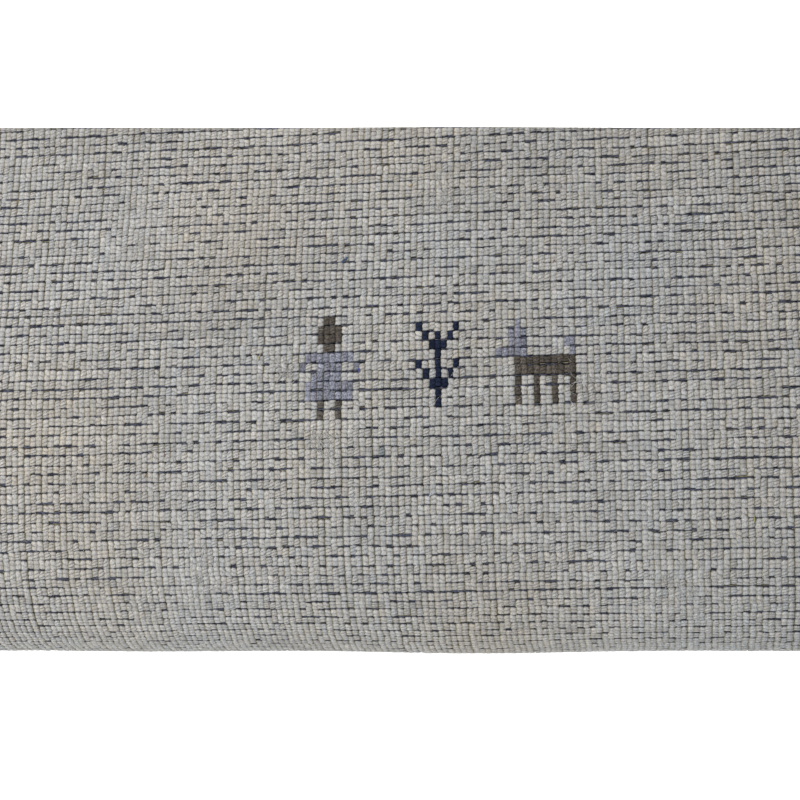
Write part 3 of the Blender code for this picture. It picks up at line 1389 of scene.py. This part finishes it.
@dataclass
class CutEdges:
    """Pile ends that stand along the cut sides and ends of the cloth.

    Attributes:
        spacing: From strand to strand.
        height: Length of a strand, from the ground to the plush face.
    """

    shop: Workshop
    spacing: float = 1.7 * MM
    height: float = 10.2 * MM
    root: float = 3.9 * MM
    seed: int = 31

    def build(self) -> bpy.types.Object:
        """Stand strands in two files along all four edges."""
        rng = np.random.default_rng(self.seed)
        fold = self.shop.fold
        places = []
        for file, inset in enumerate((0.5 * MM, 1.9 * MM)):
            count = int(fold.length / self.spacing)
            for side in (-1, 1):
                share = (np.arange(count) + 0.5 * file + 0.5) / count
                plain = share * fold.length
                x = side * (fold.width / 2 - inset) + fold.side_wave(plain,
                                                                     np.full(count, float(side)))
                along = plain + np.clip(plain - fold.lift, 0,
                                        None) / (fold.length - fold.lift) * fold.slant * x
                places.append(np.stack([along, x], axis=1))
            count = int(fold.width / self.spacing)
            x = (np.arange(count) + 0.5 * file + 0.5) / count * fold.width - fold.width / 2
            places.append(np.stack([np.full(count, inset), x], axis=1))
            places.append(np.stack([fold.end_at(x) - inset, x], axis=1))
        data = np.concatenate(places)
        along, x = data.T
        x = np.clip(x, -fold.width / 2 + 0.3 * MM, fold.width / 2 - 0.3 * MM)
        along = np.clip(along, 0.3 * MM, fold.end_at(x) - 0.3 * MM)
        count = len(x)
        outward, forward = fold.directions(along, x)
        tall = np.clip(1.0 + 0.06 * rng.normal(size=count), 0.85, 1.06)
        wide = np.clip(1.0 + 0.15 * rng.normal(size=(count, 1)), 0.7, 1.3)
        stretch = np.concatenate([wide, wide, tall[:, None]], axis=1)
        tint = linear("#B4AFA5")[None, :] * (1.0 + 0.12 * rng.normal(size=(count, 1)))
        points = Points(fold.lay(along, x, -self.root), -outward, forward, stretch,
                        rng.integers(0, 3, count), np.clip(tint, 0.02, 0.9))
        shapes = self.shop.shapes.gather("pile_end", [self.strand(k) for k in range(3)])
        sizes = {"Width": 1.15 * MM, "Length": 1.15 * MM, "Height": self.height, "Tilt": 0.09}
        piece = self.shop.scatter.run("pile_ends", points, shapes, sizes,
                                      StrandWool("pile_strand", sheen=0.25).build(), 13)
        return self.shop.finish(piece)

    def strand(self, kind: int) -> bpy.types.Mesh:
        """One standing pile end, leaning a little and splaying at its cut."""
        rng = np.random.default_rng(self.seed + kind)
        mesh = bpy.data.meshes.new(f"pile_end_{kind}")
        work = bmesh.new()
        rings = []
        lean = rng.normal(size=2) * 0.25
        for z, radius in ((0.0, 0.9), (0.9, 1.1), (1.0, 0.6)):
            ring = []
            for k in range(4):
                turn = 2 * math.pi * k / 4 + 0.3 * kind
                ring.append(work.verts.new((lean[0] * z * z + radius * math.cos(turn),
                                            lean[1] * z * z + radius * math.sin(turn), z)))
            rings.append(ring)
        for low, high in zip(rings, rings[1:]):
            for k in range(4):
                work.faces.new((low[k], low[(k + 1) % 4], high[(k + 1) % 4], high[k]))
        work.faces.new(rings[0][::-1])
        work.faces.new(rings[-1])
        work.to_mesh(mesh)
        work.free()
        mesh.shade_smooth()
        return mesh


@dataclass
class Studio:
    """Floor, soft light and the camera over the cloth.

    Attributes:
        lens: Focal length on a 36 mm sensor.
        eye: Camera's place.
        look: Direction in which it looks.
        right: Direction of the picture's right side.
    """

    lens: float = 82.68
    eye: tuple[float, float, float] = (0.14998, 0.08774, 1.22046)
    look: tuple[float, float, float] = (-0.12644, -0.08392, -0.98842)
    right: tuple[float, float, float] = (0.99181, -0.02906, -0.12440)

    def build(self) -> None:
        """Set up everything around the cloth."""
        self.floor()
        self.camera()
        self.lights()

    def floor(self) -> None:
        """Lay the studio paper."""
        mesh = bpy.data.meshes.new("studio_floor")
        work = bmesh.new()
        bmesh.ops.create_grid(work, x_segments=1, y_segments=1, size=40.0)
        work.to_mesh(mesh)
        work.free()
        mesh.materials.append(PaperFloor().build())
        floor = bpy.data.objects.new("studio_floor", mesh)
        bpy.context.scene.collection.objects.link(floor)

    def camera(self) -> None:
        """Hang the camera over the cloth, square to the picture."""
        data = bpy.data.cameras.new("camera")
        data.lens = self.lens
        data.sensor_width = 36.0
        data.clip_start = 0.05
        data.clip_end = 20.0
        camera = bpy.data.objects.new("camera", data)
        back = -Vector(self.look).normalized()
        right = Vector(self.right)
        right = (right - right.dot(back) * back).normalized()
        up = back.cross(right)
        turn = Matrix((right, up, back)).transposed().to_4x4()
        camera.matrix_world = Matrix.Translation(self.eye) @ turn
        bpy.context.scene.collection.objects.link(camera)
        bpy.context.scene.camera = camera

    def lights(self) -> None:
        """Soft studio light: a white surround, a box up on the left and a weak front fill."""
        scene = bpy.context.scene
        scene.view_settings.view_transform = "Standard"
        world = bpy.data.worlds.new("studio")
        scene.world = world
        world.use_nodes = True
        back = world.node_tree.nodes["Background"]
        back.inputs["Color"].default_value = (1.0, 1.0, 1.0, 1.0)
        back.inputs["Strength"].default_value = 0.44
        for name, eye, size, power, colour in (
            ("left_box", (-1.75, 0.55, 1.60), 0.9, 46.0, (1.0, 1.0, 1.0)),
            ("front_fill", (0.2, -1.8, 1.1), 1.4, 10.0, (0.80, 0.90, 1.0)),
        ):
            data = bpy.data.lights.new(name, "AREA")
            data.size = size
            data.energy = power
            data.color = colour
            lamp = bpy.data.objects.new(name, data)
            aim = Vector((0.0, 0.0, 0.06)) - Vector(eye)
            lamp.matrix_world = (Matrix.Translation(eye)
                                 @ aim.to_track_quat("-Z", "Y").to_matrix().to_4x4())
            scene.collection.objects.link(lamp)


def main() -> None:
    """Build the cloth piece by piece, then the studio."""
    logging.basicConfig(level=logging.INFO, format="%(name)s: %(message)s")
    shop = Workshop(Fold(), Weave(), ScatterTree(), UnitShapes())
    GroundCloth(shop).build()
    PileBed(shop).build()
    KnotFace(shop).build()
    WeftFloats(shop).build()
    Lint(shop).build()
    CutEdges(shop).build()
    shop.shapes.clear()
    Studio().build()


if __name__ == "__main__":
    main()
